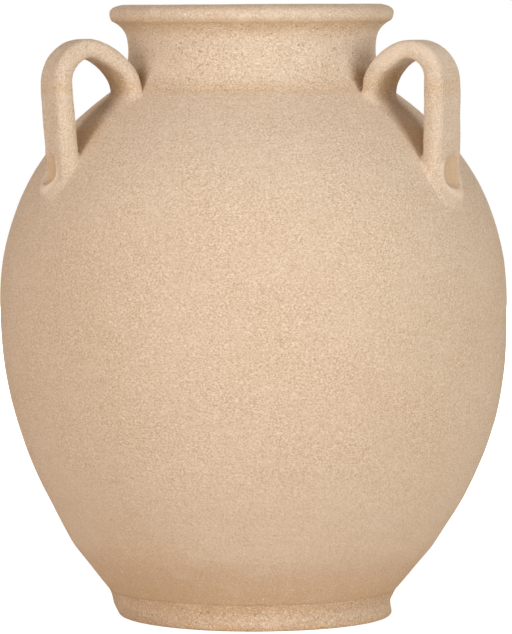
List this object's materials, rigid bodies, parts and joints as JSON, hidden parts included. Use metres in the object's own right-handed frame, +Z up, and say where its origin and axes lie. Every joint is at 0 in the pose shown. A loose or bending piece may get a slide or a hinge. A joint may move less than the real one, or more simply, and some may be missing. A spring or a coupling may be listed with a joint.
{
  "type": "vase",
  "caption": "Round-bellied unglazed earthenware vase with a short flared neck, rolled lip, foot ring and strap handles on the shoulder, for flowers or branches.",
  "frame": {"origin": "centre of the foot ring's tread, on the surface that the vase stands on", "axes": "+Z up along the wheel's axis; -Y is the front, midway between the left and right handles; +X is to the right seen from the front"},
  "size_m": [0.253, 0.253, 0.3048],
  "materials": {
    "body_clay": "unglazed sandy bisque with fine throwing lines",
    "neck_clay": "unglazed bisque, rougher and pitted",
    "lip_clay": "unglazed sandy bisque, wiped smooth",
    "foot_clay": "unglazed bisque, darker, with pale pits",
    "handle_clay": "unglazed sandy bisque",
    "luting_clay": "unglazed bisque, smeared by hand"
  },
  "bodies": {
    "root": {"foot_ring": "foot_clay", "vessel_body": "body_clay", "neck_collar": "neck_clay", "lip_roll": "lip_clay", "handle_back": "handle_clay", "upper_coil_back": "luting_clay", "lower_pad_back": "luting_clay", "handle_left": "handle_clay", "upper_coil_left": "luting_clay", "lower_pad_left": "luting_clay", "handle_right": "handle_clay", "upper_coil_right": "luting_clay", "lower_pad_right": "luting_clay"}
  },
  "joints": []
}
